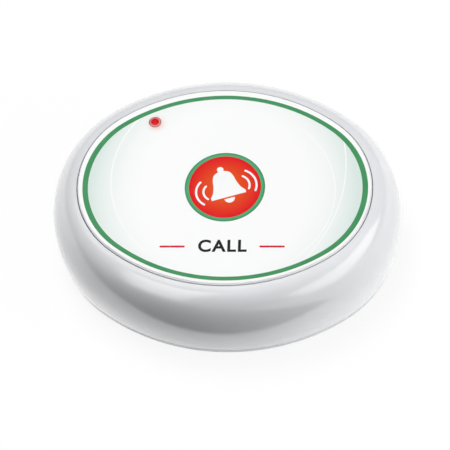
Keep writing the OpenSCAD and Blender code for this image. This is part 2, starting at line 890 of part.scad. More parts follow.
module resonator_can() {
  color("silver") translate([resonator_x, resonator_y, board_top]) {
    cylinder(d = resonator_diameter + 2 * resonator_flange, h = resonator_flange);
    cylinder(d = resonator_diameter, h = resonator_height);
  }
}

module capacitor() {
  color("darkslateblue") translate([capacitor_x, capacitor_y, board_top])
    cylinder(d = capacitor_diameter, h = capacitor_height);
}

module chip_resistors() {
  color("dimgray") for (i = [-1, 0, 1], row = [-1, 1]) {
    translate([resistor_x + i * resistor_pitch, row * resistor_pitch / 2, 0])
      box([-resistor_length / 2, resistor_length / 2], [-resistor_width / 2, resistor_width / 2],
          [board_top, board_top + resistor_height]);
  }
}

// lies along X on the board and runs out into a straight leg down to it
module antenna_coil() {
  mean = antenna_diameter / 2;
  leg = antenna_height - touch;
  coil = helix(mean, mean, 0, antenna_length, antenna_turns);
  path = concat([[mean, -leg, 0], [mean, -leg / 3, 0]], coil);
  echo(antenna_gap = turn_gap(coil, antenna_wire));
  color("goldenrod") translate([antenna_x, antenna_y, board_top + antenna_height]) rotate([90, 0, 90])
    wire(path, [0, 0, 1], antenna_wire);
}

/* Battery */

module along_cell(x) {
  translate([x, cell_y, cell_z]) rotate([0, 90, 0]) children();
}

module battery_cell() {
  color("darkorange") along_cell(can_x) cylinder(d = cell_diameter, h = can_length);
}

module cell_cap() {
  color("silver") along_cell(can_x + can_length) cylinder(d = cap_diameter, h = cap_length);
}

// end plate of the bay with the strip that is soldered to the board
module contact() {
  box([contact_x, contact_x + contact_thickness], [cell_y - contact_width / 2, cell_y + contact_width / 2],
      [frame_top + contact_lift, board_top + contact_thickness]);
  box([contact_x, contact_x + contact_strip], [cell_y, board_front + contact_overlap],
      [board_top, board_top + contact_thickness]);
}

module positive_contact() {
  color("silver") contact();
}

module negative_contact() {
  color("silver") mirror([1, 0, 0]) contact();
}

module contact_spring() {
  low = contact_wire / 2 + touch;
  high = can_x + contact_x - contact_wire / 2 - touch;
  path = helix(contact_foot, contact_tip, low, high, contact_turns);
  echo(contact_spring_gap = turn_gap(path, contact_wire));
  color("lightsteelblue") along_cell(-contact_x) wire(path, [0, 0, 1], contact_wire);
}

module battery_door() {
  color("whitesmoke") translate([0, cell_y, base_z]) difference() {
    union() {
      box([-door_half_x, door_half_x], [-door_half_y, door_half_y], [0, door_thickness]);
      for (side = [-1, 1]) {
        translate([0, side * tab_y, 0])
          box([door_half_x - bite, door_half_x + tab_reach], [-tab_width / 2, tab_width / 2],
              [tab_lift, tab_lift + tab_thickness]);
        translate([0, side * door_rib_y, 0])
          box([-bay_length / 4, bay_length / 4], [-door_rib / 2, door_rib / 2], [0, door_rib_height]);
      }
    }
    for (side = [-1, 1]) {
      translate([-door_half_x, side * tab_y, 0])
        box([-bite, slit_length], [-slit_width / 2, slit_width / 2], [-bite, far]);
    }
  }
}

top_shell();
base_shell();
case_seal();
case_screws();
rubber_feet();
key_plate();
face_label();
key_screws();
return_springs();
circuit_board();
board_screws();
switch_body();
switch_cover();
switch_terminals();
switch_plunger();
indicator_led();
led_spacer();
led_leads();
encoder_chip();
chip_pins();
resonator_can();
capacitor();
chip_resistors();
antenna_coil();
battery_cell();
cell_cap();
positive_contact();
negative_contact();
contact_spring();
battery_door();
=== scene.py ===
import json
import math

import bmesh
import bpy
from mathutils import Matrix, Vector


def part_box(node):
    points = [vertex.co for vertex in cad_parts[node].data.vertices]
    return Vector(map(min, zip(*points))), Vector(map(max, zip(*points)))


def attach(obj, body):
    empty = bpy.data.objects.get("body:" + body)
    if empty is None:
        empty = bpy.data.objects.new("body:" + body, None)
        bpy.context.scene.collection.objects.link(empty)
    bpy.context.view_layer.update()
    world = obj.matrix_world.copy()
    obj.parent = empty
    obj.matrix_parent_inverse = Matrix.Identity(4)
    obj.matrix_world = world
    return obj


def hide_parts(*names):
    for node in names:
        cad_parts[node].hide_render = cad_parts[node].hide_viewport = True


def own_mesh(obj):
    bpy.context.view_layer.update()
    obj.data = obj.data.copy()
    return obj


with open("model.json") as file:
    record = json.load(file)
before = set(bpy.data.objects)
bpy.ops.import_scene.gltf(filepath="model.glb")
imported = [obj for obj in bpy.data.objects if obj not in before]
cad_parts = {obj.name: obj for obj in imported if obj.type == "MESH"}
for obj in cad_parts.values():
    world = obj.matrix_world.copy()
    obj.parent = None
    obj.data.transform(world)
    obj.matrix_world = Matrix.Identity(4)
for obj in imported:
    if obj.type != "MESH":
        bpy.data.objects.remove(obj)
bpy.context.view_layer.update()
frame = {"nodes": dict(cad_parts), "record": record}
mm = 0.001
touching = 0.001 * mm  # points nearer than this are one point
print("frame loaded:", len(frame["nodes"]), "nodes")


def hexToLinear(code):
    values = [int(code[i:i + 2], 16) / 255 for i in (0, 2, 4)]
    linear = [v / 12.92 if v <= 0.04045 else ((v + 0.055) / 1.055) ** 2.4 for v in values]
    return (*linear, 1.0)


def addNode(tree, kind, settings=None, links=None):
    node = tree.nodes.new(kind)
    for name, value in (settings or {}).items():
        if name == "stops":  # a ramp's stops, as places and hex colours
            stops = node.color_ramp.elements
            while len(stops) < len(value):
                stops.new(1.0)
            for stop, (place, code) in zip(stops, value):
                stop.position = place
                stop.color = hexToLinear(code)
        elif isinstance(name, str) and hasattr(node, name):
            setattr(node, name, value)
        else:
            node.inputs[name].default_value = value
    for name, source in (links or {}).items():
        tree.links.new(source, node.inputs[name])
    return node


def startMaterial(name, sockets):
    material = bpy.data.materials.new(name)
    material.use_nodes = True
    tree = material.node_tree
    tree.nodes.clear()
    shader = addNode(tree, "ShaderNodeBsdfPrincipled", sockets)
    addNode(tree, "ShaderNodeOutputMaterial", None, {"Surface": shader.outputs[0]})
    return material, tree, shader


noiseSpan = (0.3, 0.7)  # a noise seldom leaves this stretch of 0 to 1


# A slow drift of colour and gloss, and a fine relief, each sized in millimetres
def dressSurface(tree, shader, look, colour=None):
    place = addNode(tree, "ShaderNodeTexCoord").outputs["Object"]
    drift = addNode(tree, "ShaderNodeTexNoise", {"Scale": 1 / (look["driftMm"] * mm), "Detail": 3.0},
                    {"Vector": place}).outputs["Fac"]
    if colour is None:
        stops = list(zip(noiseSpan, look["colours"]))
        colour = addNode(tree, "ShaderNodeValToRGB", {"stops": stops}, {"Fac": drift}).outputs["Color"]
    tree.links.new(colour, shader.inputs["Base Color"])
    smoothest, roughest = look["rough"]
    gloss = addNode(tree, "ShaderNodeMapRange", {"From Min": noiseSpan[0], "From Max": noiseSpan[1],
                    "To Min": smoothest, "To Max": roughest}, {"Value": drift}).outputs[0]
    tree.links.new(gloss, shader.inputs["Roughness"])
    grain = addNode(tree, "ShaderNodeTexNoise", {"Scale": 1 / (look["grainMm"] * mm), "Detail": 2.0},
                    {"Vector": place}).outputs["Fac"]
    relief = addNode(tree, "ShaderNodeBump", {"Strength": 1.0, "Distance": look["reliefMm"] * mm},
                     {"Height": grain}).outputs[0]
    tree.links.new(relief, shader.inputs["Normal"])


def plainFinish(name, look):
    material, tree, shader = startMaterial(name, look.get("sockets", {}))
    dressSurface(tree, shader, look)
    return material


# Each finish: what the piece is made of and how its surface came about; a grain too fine to show,
# such as that of a sand-blasted or spark-eroded tool, is drawn coarser than the real one
finishes = {
    # ABS from a polished tool under clear lacquer: deep, clean highlights over a skin that wavers a little
    "case_white": ("lacqueredAbs", {
        "colours": ("e3e4e7", "e7e8eb"), "driftMm": 18, "rough": (0.2, 0.26), "grainMm": 3.0,
        "reliefMm": 0.003, "sockets": {"IOR": 1.54, "Coat Weight": 1.0, "Coat IOR": 1.6,
                                       "Coat Roughness": 0.16}}),
    # ABS from a spark-eroded tool: nearly the same white, broken to a fine satin
    "base_white": ("sparkErodedAbs", {
        "colours": ("e6e8ea", "eef0f1"), "driftMm": 9, "rough": (0.42, 0.55), "grainMm": 0.35,
        "reliefMm": 0.012, "sockets": {"IOR": 1.54}}),
    # black rubber from a sand-blasted tool: dull, with a dusty lift in places
    "foot_rubber": ("mouldedRubber", {
        "colours": ("26272a", "35373a"), "driftMm": 2.5, "rough": (0.6, 0.8), "grainMm": 0.25,
        "reliefMm": 0.02, "sockets": {"IOR": 1.52}}),
    # cast silicone cord: milky and soft-edged, a little light goes in
    "seal_silicone": ("castSilicone", {
        "colours": ("b4b9bc", "c2c6c8"), "driftMm": 4, "rough": (0.35, 0.5), "grainMm": 0.6,
        "reliefMm": 0.006, "sockets": {"IOR": 1.41, "Subsurface Weight": 0.2, "Subsurface Scale": 0.0006}}),
    # zinc plated steel: bright, with the faint cloud of the passivation
    "zinc_steel": ("zincPlatedSteel", {
        "colours": ("a9adb4", "c3c5c6"), "driftMm": 1.2, "rough": (0.24, 0.38), "grainMm": 0.2,
        "reliefMm": 0.004, "sockets": {"Metallic": 1.0}}),
    # cold drawn spring wire: a darker steel with a fine, uneven sheen
    "spring_steel": ("drawnSpringWire", {
        "colours": ("8f949b", "b1b5ba"), "driftMm": 0.8, "rough": (0.28, 0.4), "grainMm": 0.15,
        "reliefMm": 0.003, "sockets": {"Metallic": 1.0}}),
    # hot tinned copper: soft bright skin with slow waves where the tin set
    "tinned_metal": ("hotTinnedCopper", {
        "colours": ("bfc2c3", "d5d6d4"), "driftMm": 1.5, "rough": (0.2, 0.36), "grainMm": 0.8,
        "reliefMm": 0.008, "sockets": {"Metallic": 1.0}}),
    # epoxy chip moulding: near black, evenly grained by the mould
    "black_moulding": ("mouldedBlackEpoxy", {
        "colours": ("17181a", "222325"), "driftMm": 1.5, "rough": (0.45, 0.6), "grainMm": 0.12,
        "reliefMm": 0.006, "sockets": {"IOR": 1.55}}),
    # moulded nylon: warm and slightly cloudy
    "ivory_moulding": ("mouldedNylon", {
        "colours": ("cfc8b4", "dcd6c4"), "driftMm": 2, "rough": (0.38, 0.5), "grainMm": 0.3,
        "reliefMm": 0.005, "sockets": {"IOR": 1.53, "Subsurface Weight": 0.1, "Subsurface Scale": 0.0005}}),
    # glazed thick film resistor: dark with a glassy cap
    "resistor_ceramic": ("glazedCeramic", {
        "colours": ("1a1b1e", "26282b"), "driftMm": 0.6, "rough": (0.18, 0.3), "grainMm": 0.2,
        "reliefMm": 0.004, "sockets": {"IOR": 1.6}}),
    # heat-shrunk sleeve: deep blue, glossy, drawn tight in slow ripples
    "capacitor_sleeve": ("shrunkSleevePvc", {
        "colours": ("141b3c", "1d2750"), "driftMm": 2, "rough": (0.2, 0.32), "grainMm": 1.4,
        "reliefMm": 0.02, "sockets": {"IOR": 1.53}}),
    # enamelled copper wire: orange metal under clear varnish
    "antenna_copper": ("enamelledCopper", {
        "colours": ("a4602f", "c27a3f"), "driftMm": 0.8, "rough": (0.2, 0.3), "grainMm": 0.3,
        "reliefMm": 0.004, "sockets": {"Metallic": 1.0, "Coat Weight": 0.6, "Coat Roughness": 0.08}}),
    # shrink jacket of a dry cell: amber film over steel, slightly rippled at the ends
    "cell_jacket": ("shrunkCellJacket", {
        "colours": ("c9791d", "dc8f2a"), "driftMm": 5, "rough": (0.22, 0.34), "grainMm": 1.8,
        "reliefMm": 0.015, "sockets": {"IOR": 1.53, "Coat Weight": 0.3, "Coat Roughness": 0.1}}),
}
slotMaterials = {slot: plainFinish(name, look) for slot, (name, look) in finishes.items()}

laminate = {
    "weaveMm": 0.45, "wavesInOne": 3.0,  # the wave texture runs through about three waves in one unit
    "mask": ("0b4a27", "126236"), "maskStops": (0.1, 0.9),
    "driftMm": 6, "rough": (0.3, 0.42), "grainMm": 0.45, "reliefMm": 0.006,
}


# Glass cloth laminate under solder mask: the crossing threads show through the green
def solderMaskLaminate():
    material, tree, shader = startMaterial("solderMaskLaminate", {"IOR": 1.55})
    place = addNode(tree, "ShaderNodeTexCoord").outputs["Object"]
    weave = 1 / (laminate["weaveMm"] * mm) / laminate["wavesInOne"]
    threads = []
    for direction in ("X", "Y"):
        wave = addNode(tree, "ShaderNodeTexWave", {"bands_direction": direction, "Distortion": 0.6,
                       "Scale": weave}, {"Vector": place})
        threads.append(wave.outputs["Fac"])
    cloth = addNode(tree, "ShaderNodeMath", {"operation": "MULTIPLY"}, {0: threads[0], 1: threads[1]})
    stops = list(zip(laminate["maskStops"], laminate["mask"]))
    colour = addNode(tree, "ShaderNodeValToRGB", {"stops": stops}, {"Fac": cloth.outputs[0]})
    dressSurface(tree, shader, laminate, colour.outputs["Color"])
    return material


slotMaterials["board_laminate"] = solderMaskLaminate()

# The film's own sizes, from the label that it replaces, and the print on it in millimetres
labelLow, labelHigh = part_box("face_label")
ledLow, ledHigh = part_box("indicator_led")
ledSpot = (ledLow + ledHigh) / 2
film = {
    "halfLength": labelHigh.x / mm,
    "halfWidth": labelHigh.y / mm,
    "top": labelHigh.z / mm,
    "under": labelLow.z / mm,
    "steps": 40,  # in each arc of the outline
    "edgeRound": 0.05,
    "lampHole": 1.52,  # radius of the punched hole
    "lamp": (ledSpot.x / mm, ledSpot.y / mm),
}
filmLook = {
    "white": "fafbfa", "tint": "dbe8e3",
    "driftMm": 14, "rough": (0.17, 0.22), "grainMm": 0.8, "reliefMm": 0.0008,
    "sockets": {"IOR": 1.5},
}
ring = {
    "centre": (0.15, -0.3), "halfLength": 34.95, "halfWidth": 26.5, "endWidth": 1.35, "sideWidth": 1.05,
    "steps": 40,
}
wash = {  # reach is the oval at which the wash is full, and it sets in at a share of it
    "centre": (0.0, -1.5), "reach": (32.5, 36.0), "setsIn": 0.6, "easing": 2.0,
    "lineWidth": 0.3, "lineEdge": (0.3, 0.7),  # a line fades between these shares of its width
    "lines": {  # each thin line: centre, radius, and the stretch along the length over which it fades in
        "left": ((-0.3, 2.0), 27.65, (-10, -14)),
        "rightInner": ((3.7, -1.5), 23.4, (11, 20)),
        "rightOuter": ((-12.1, 5.3), 41.5, (18, 22)),
    },
}
paintedLampGlow = {"colour": "f08f8a", "reach": 3.2, "shift": (0.35, -0.45)}  # painted glow: the red light that spreads from the lamp, painted onto the film


# Printed polyester film: even satin gloss, a pale green wash that deepens towards the ends,
# thin white lines left open in the wash, and a painted glow of the red lamp's light on the film round its
# hole
def printedPolyester():
    material, tree, shader = startMaterial("printedPolyester", filmLook["sockets"])
    place = addNode(tree, "ShaderNodeTexCoord").outputs["Object"]
    flat = addNode(tree, "ShaderNodeVectorMath", {"operation": "MULTIPLY", 1: (1 / mm, 1 / mm, 0)},
                   {0: place}).outputs[0]
    along = addNode(tree, "ShaderNodeSeparateXYZ", None, {"Vector": flat}).outputs["X"]
    ringMiddle = (ring["halfLength"] - ring["endWidth"] / 2, ring["halfWidth"] - ring["sideWidth"] / 2)
    spans = {"wash": (wash["centre"], wash["reach"]), "inRing": (ring["centre"], ringMiddle)}
    shares = {}
    for name, (centre, reach) in spans.items():
        centred = addNode(tree, "ShaderNodeVectorMath", {"operation": "SUBTRACT", 1: (*centre, 0)}, {0: flat})
        scaled = addNode(tree, "ShaderNodeVectorMath", {"operation": "DIVIDE", 1: (*reach, 1)},
                         {0: centred.outputs[0]})
        shares[name] = addNode(tree, "ShaderNodeVectorMath", {"operation": "LENGTH"},
                               {0: scaled.outputs[0]}).outputs["Value"]
    deepening = addNode(tree, "ShaderNodeMapRange", {"From Min": wash["setsIn"]}, {"Value": shares["wash"]})
    eased = addNode(tree, "ShaderNodeMath", {"operation": "POWER", 1: wash["easing"]},
                    {0: deepening.outputs[0]})
    inside = addNode(tree, "ShaderNodeMath", {"operation": "LESS_THAN", 1: 1.0}, {0: shares["inRing"]})
    amount = addNode(tree, "ShaderNodeMath", {"operation": "MULTIPLY"},
                     {0: eased.outputs[0], 1: inside.outputs[0]})
    fades, gone = [wash["lineWidth"] * share for share in wash["lineEdge"]]
    for centre, radius, stretch in wash["lines"].values():
        far = addNode(tree, "ShaderNodeVectorMath", {"operation": "DISTANCE", 1: (*centre, 0)}, {0: flat})
        off = addNode(tree, "ShaderNodeMath", {"operation": "SUBTRACT", 1: radius}, {0: far.outputs["Value"]})
        near = addNode(tree, "ShaderNodeMath", {"operation": "ABSOLUTE"}, {0: off.outputs[0]})
        line = addNode(tree, "ShaderNodeMapRange", {"From Min": fades, "From Max": gone, "To Min": 1.0,
                       "To Max": 0.0}, {"Value": near.outputs[0]})
        shown = addNode(tree, "ShaderNodeMapRange", {"From Min": stretch[0], "From Max": stretch[1]},
                        {"Value": along})
        bare = addNode(tree, "ShaderNodeMath", {"operation": "MULTIPLY"},
                       {0: line.outputs[0], 1: shown.outputs[0]})
        kept = addNode(tree, "ShaderNodeMath", {"operation": "SUBTRACT", 0: 1.0}, {1: bare.outputs[0]})
        amount = addNode(tree, "ShaderNodeMath", {"operation": "MULTIPLY"},
                         {0: amount.outputs[0], 1: kept.outputs[0]})
    # sockets 6 and 7 of a Mix node are its two colours
    tinted = addNode(tree, "ShaderNodeMix", {"data_type": "RGBA", 6: hexToLinear(filmLook["white"]),
                     7: hexToLinear(filmLook["tint"])}, {0: amount.outputs[0]})
    # painted glow: a pink pool of the lamp's light painted onto the film round the hole
    paintedGlowSpot = [spot + shift for spot, shift in zip(film["lamp"], paintedLampGlow["shift"])]
    centred = addNode(tree, "ShaderNodeVectorMath", {"operation": "SUBTRACT", 1: (*paintedGlowSpot, 0)}, {0: flat})
    scaled = addNode(tree, "ShaderNodeVectorMath", {"operation": "SCALE", "Scale": 1 / paintedLampGlow["reach"]},
                     {0: centred.outputs[0]})
    paintedGlowHalo = addNode(tree, "ShaderNodeTexGradient", {"gradient_type": "QUADRATIC_SPHERE"},
                   {"Vector": scaled.outputs[0]})
    colour = addNode(tree, "ShaderNodeMix", {"data_type": "RGBA", 7: hexToLinear(paintedLampGlow["colour"])},
                     {0: paintedGlowHalo.outputs["Fac"], 6: tinted.outputs[2]})
    dressSurface(tree, shader, filmLook, colour.outputs[2])
    return material


inkLook = {"driftMm": 5, "rough": (0.17, 0.22), "grainMm": 0.8, "reliefMm": 0.0008, "sockets": {"IOR": 1.5}}
inks = {  # screen inks: flat and even, a shade lighter where the coat is thin
    "ringGreen": ("44925f", "4b9865"),
    "edgeGreen": ("468862", "4d8e68"),
    "borderGreen": ("46a972", "4eb079"),
    "bellWhite": ("f7f7f7", "fafafa"),
    "letterBlack": ("232426", "2b2c2e"),
    "ruleRed": ("cf2233", "d82b3b"),
}


def screenInk(name):
    return plainFinish(name + "ScreenInk", {**inkLook, "colours": inks[name]})


callDisc = {
    "centre": (0.15, -0.4), "radius": 9.83, "edge": 0.38, "border": 1.0, "steps": 96,
    "rim": "e01020", "middle": "e5531c", "blend": (0.1, 0.7),  # shares of the way in, from the edge
}


# Blended screen ink: orange in the middle running out to a clear red
def blendedRedInk():
    material, tree, shader = startMaterial("blendedRedScreenInk", inkLook["sockets"])
    place = addNode(tree, "ShaderNodeTexCoord").outputs["Object"]
    across = 1 / (callDisc["radius"] * mm)
    scaled = addNode(tree, "ShaderNodeVectorMath", {"operation": "MULTIPLY", 1: (across, across, 0)},
                     {0: place})
    blend = addNode(tree, "ShaderNodeTexGradient", {"gradient_type": "SPHERICAL"},
                    {"Vector": scaled.outputs[0]})
    stops = list(zip(callDisc["blend"], (callDisc["rim"], callDisc["middle"])))
    colour = addNode(tree, "ShaderNodeValToRGB", {"stops": stops}, {"Fac": blend.outputs["Fac"]})
    dressSurface(tree, shader, inkLook, colour.outputs["Color"])
    return material


slotMaterials["printed_film"] = printedPolyester()
inkMaterials = {name: screenInk(name) for name in inks}
inkMaterials["blendedRed"] = blendedRedInk()

lens = {
    "radius": 1.5, "topRadius": 1.36, "shoulder": 0.25, "crownHeight": 1.0, "crownSteps": 10,
    "flangeHeight": 1.0, "flangeEdge": 0.1, "steps": 48, "crispAngle": 40,
    "rim": "d99a98", "core": "d2191d", "paintedLitEdgeBlend": (0.22, 0.38),  # shares of the way in, from the edge; the pale rim colour is painted light, the edge lit through thin epoxy
    "paintedLitEdgeDepth": 0.6,  # below this depth the painted pale edge light stops, and the edge is as red as the core
    "driftMm": 1.0, "rough": (0.1, 0.18), "grainMm": 0.5, "reliefMm": 0.002,
    "sockets": {"IOR": 1.54, "Emission Color": hexToLinear("e02020"), "Emission Strength": 0.05},
}


# Epoxy lamp tinted red: deep in the middle, with a painted paler edge that stands in for the light let in
# where the epoxy is thin
def tintedEpoxyPaintedLitEdge():
    material, tree, shader = startMaterial("tintedEpoxyPaintedLitEdge", lens["sockets"])
    place = addNode(tree, "ShaderNodeTexCoord").outputs["Object"]
    across = 1 / (lens["radius"] * mm)
    scaled = addNode(tree, "ShaderNodeVectorMath", {"operation": "MULTIPLY", 1: (across, across, 0)},
                     {0: place})
    blend = addNode(tree, "ShaderNodeTexGradient", {"gradient_type": "SPHERICAL"},
                    {"Vector": scaled.outputs[0]})
    # painted light: the paler rim colour stands in for light let in at the lamp's thin edge
    stops = list(zip(lens["paintedLitEdgeBlend"], (lens["rim"], lens["core"])))
    crown = addNode(tree, "ShaderNodeValToRGB", {"stops": stops}, {"Fac": blend.outputs["Fac"]})
    height = addNode(tree, "ShaderNodeSeparateXYZ", None, {"Vector": place}).outputs["Z"]
    crownFoot = ledHigh.z - lens["paintedLitEdgeDepth"] * mm
    onCrown = addNode(tree, "ShaderNodeMath", {"operation": "GREATER_THAN", 1: crownFoot}, {0: height})
    colour = addNode(tree, "ShaderNodeMix", {"data_type": "RGBA", 6: hexToLinear(lens["core"])},
                     {0: onCrown.outputs[0], 7: crown.outputs["Color"]})
    dressSurface(tree, shader, lens, colour.outputs[2])
    return material


slotMaterials["lens_red"] = tintedEpoxyPaintedLitEdge()
for row in frame["record"]["subparts"]:
    node = frame["nodes"][row["node"]]
    node.data.materials.clear()
    node.data.materials.append(slotMaterials[row["material_slot"]])
print("materials made:", len(bpy.data.materials))


def placePiece(name, bm, material, body, at=(0, 0, 0), smooth=False):
    mesh = bpy.data.meshes.new(name)
    bmesh.ops.recalc_face_normals(bm, faces=bm.faces[:])
    bm.to_mesh(mesh)
    bm.free()
    mesh.materials.append(material)
    for face in mesh.polygons:
        face.use_smooth = smooth
    piece = bpy.data.objects.new(name, mesh)
    bpy.context.scene.collection.objects.link(piece)
    piece.location = Vector(at) * mm
    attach(piece, body)
    return piece


# Oval of four arcs whose centres stand on a 3-4-5 triangle, as on the case
def ovalLoop(halfLength, halfWidth, steps):
    unit = (halfLength - halfWidth) / 2
    endCentre, sideCentre = 3 * unit, 4 * unit
    endRadius, sideRadius = halfLength - endCentre, halfWidth + sideCentre
    joint = math.atan2(4, 3)
    arcs = [
        (endCentre, 0, endRadius, -joint, joint),
        (0, -sideCentre, sideRadius, joint, math.pi - joint),
        (-endCentre, 0, endRadius, math.pi - joint, math.pi + joint),
        (0, sideCentre, sideRadius, math.pi + joint, 2 * math.pi - joint),
    ]
    loop = []
    for x, y, radius, start, end in arcs:
        for step in range(steps):
            angle = start + (end - start) * step / steps
            loop.append((x + radius * math.cos(angle), y + radius * math.sin(angle)))
    return loop


def roundLoop(centre, radius, steps=64):
    turns = [2 * math.pi * step / steps for step in range(steps)]
    return [(centre[0] + radius * math.cos(t), centre[1] + radius * math.sin(t)) for t in turns]


# A stroke of even width along an arc, with round ends
def arcStroke(centre, radius, width, start, end, steps=24, capSteps=8):
    start, end = math.radians(start), math.radians(end)
    loop = []
    for side, first, last in ((1, start, end), (-1, end, start)):
        for step in range(steps + 1):
            angle = first + (last - first) * step / steps
            reach = radius + side * width / 2
            loop.append((centre[0] + reach * math.cos(angle), centre[1] + reach * math.sin(angle)))
        capX, capY = centre[0] + radius * math.cos(last), centre[1] + radius * math.sin(last)
        for step in range(1, capSteps):
            turn = last + (0 if side > 0 else math.pi) + math.pi * step / capSteps
            loop.append((capX + width / 2 * math.cos(turn), capY + width / 2 * math.sin(turn)))
    return loop


# Smooth open line that passes through each of a few points
def smoothLine(points, steps=6):
    line = []
    padded = [points[0], *points, points[-1]]
    for a, b, c, d in zip(padded, padded[1:], padded[2:], padded[3:]):
        for step in range(steps):
            t = step / steps
            line.append(tuple(0.5 * (2 * q + (r - p) * t + (2 * p - 5 * q + 4 * r - s) * t * t
                                     + (3 * q - p - 3 * r + s) * t ** 3) for p, q, r, s in zip(a, b, c, d)))
    line.append(points[-1])
    return line


def turnedLoop(loop, angle, centre):
    turn = Matrix.Rotation(math.radians(angle), 2)
    return [tuple(turn @ Vector(point) + Vector(centre)) for point in loop]


# Fills the outline, holes left open, and gives it its thickness downwards
def fillOutline(loops, top, thickness):
    bm = bmesh.new()
    for loop in loops:
        corners = [bm.verts.new((x * mm, y * mm, top * mm)) for x, y in loop]
        for a, b in zip(corners, corners[1:] + corners[:1]):
            bm.edges.new((a, b))
    bmesh.ops.triangle_fill(bm, use_beauty=True, edges=bm.edges[:])
    grown = bmesh.ops.extrude_face_region(bm, geom=bm.faces[:])["geom"]
    moved = [item for item in grown if isinstance(item, bmesh.types.BMVert)]
    bmesh.ops.translate(bm, verts=moved, vec=(0, 0, -thickness * mm))
    return bm


def filmPiece():
    lampHole = roundLoop(film["lamp"], film["lampHole"])
    outline = ovalLoop(film["halfLength"], film["halfWidth"], film["steps"])
    bm = fillOutline([outline, lampHole], film["top"], film["top"] - film["under"])
    middle = (film["top"] + film["under"]) / 2 * mm
    sharp = math.radians(60)  # the rims are square, and all other edges are flat
    rims = [edge for edge in bm.edges if all(corner.co.z > middle for corner in edge.verts)
            and edge.calc_face_angle(0) > sharp]
    bmesh.ops.bevel(bm, geom=rims, offset=film["edgeRound"] * mm, segments=3, affect="EDGES")
    piece = placePiece("face_film", bm, slotMaterials["printed_film"], "key")
    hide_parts("face_label")


filmPiece()

printing = {"coat": 0.012, "sunk": 0.006}  # thickness of a coat of ink, and how deep it keys into the film


def printCoat(name, loops, ink, coat=1, centre=(0, 0)):
    top = film["top"] + printing["coat"] * coat
    bm = fillOutline(loops, top, printing["coat"] + printing["sunk"])
    placePiece(name, bm, inkMaterials[ink], "key", at=(*centre, 0))


def greenRing():
    length, width = ring["halfLength"], ring["halfWidth"]
    outer = ovalLoop(length, width, ring["steps"])
    inner = ovalLoop(length - ring["endWidth"], width - ring["sideWidth"], ring["steps"])
    printCoat("print_ring", [outer, inner], "ringGreen", centre=ring["centre"])


bell = {
    "mouth": (1.35, -3.1), "tilt": 19.5,
    "side": [(4.3, 0.0), (4.35, 0.75), (3.5, 2.0), (2.9, 3.8), (2.6, 5.5), (1.95, 6.85), (0.62, 7.55)],
    "knobHeight": 8.05, "knobRadius": 0.8, "knobSteps": 14,
    "clapperRadius": 1.3, "clapperGap": 0.45, "clapperSteps": 16,
}
soundWaves = {  # centre, radii and the angles between which each pair of strokes runs
    "left": ((-2.6, -1.9), (2.4, 4.2), (142, 242)),
    "right": ((3.3, 0.2), (2.85, 4.55), (-16, 70)),
    "width": 0.52,
}


# Ringing bell, drawn upright from its mouth and then tilted
def bellSign():
    neckX, neckY = bell["side"][-1]
    height, radius, steps = bell["knobHeight"], bell["knobRadius"], bell["knobSteps"]
    neck = math.atan2(neckY - height, neckX)
    turns = [neck + (math.pi / 2 - neck) * step / steps for step in range(1, steps + 1)]
    knob = [(radius * math.cos(t), height + radius * math.sin(t)) for t in turns]
    half = smoothLine(bell["side"]) + knob
    body = half + [(-x, y) for x, y in reversed(half[:-1])]
    reach, steps = bell["clapperRadius"], bell["clapperSteps"]
    turns = [math.pi + math.pi * step / steps for step in range(steps + 1)]
    clapper = [(reach * math.cos(t), reach * math.sin(t) - bell["clapperGap"]) for t in turns]
    for name, loop in (("bell_body", body), ("bell_clapper", clapper)):
        printCoat(name, [turnedLoop(loop, bell["tilt"], bell["mouth"])], "bellWhite", coat=2)
    for side in ("left", "right"):
        centre, radii, span = soundWaves[side]
        for count, radius in enumerate(radii):
            stroke = arcStroke(centre, radius, soundWaves["width"], *span)
            printCoat(f"sound_{side}_{count}", [stroke], "bellWhite", coat=2)


def redDisc():
    radius, centre = callDisc["radius"], callDisc["centre"]
    radii = (radius, radius - callDisc["edge"], radius - callDisc["border"])
    outer, middle, inner = [roundLoop((0, 0), reach, callDisc["steps"]) for reach in radii]
    printCoat("disc_edge", [outer, middle], "edgeGreen", centre=centre)
    printCoat("disc_border", [middle, inner], "borderGreen", centre=centre)
    printCoat("disc_red", [inner], "blendedRed", centre=centre)


callWord = {
    "text": "CALL", "size": 4.6, "bolder": 0.13, "spacing": 1.14, "centre": (0.6, -17.3), "turn": 2.2,
    "ruleGap": 9.3, "ruleLength": 5.6, "ruleWidth": 0.55, "ruleEndSteps": 6,
}


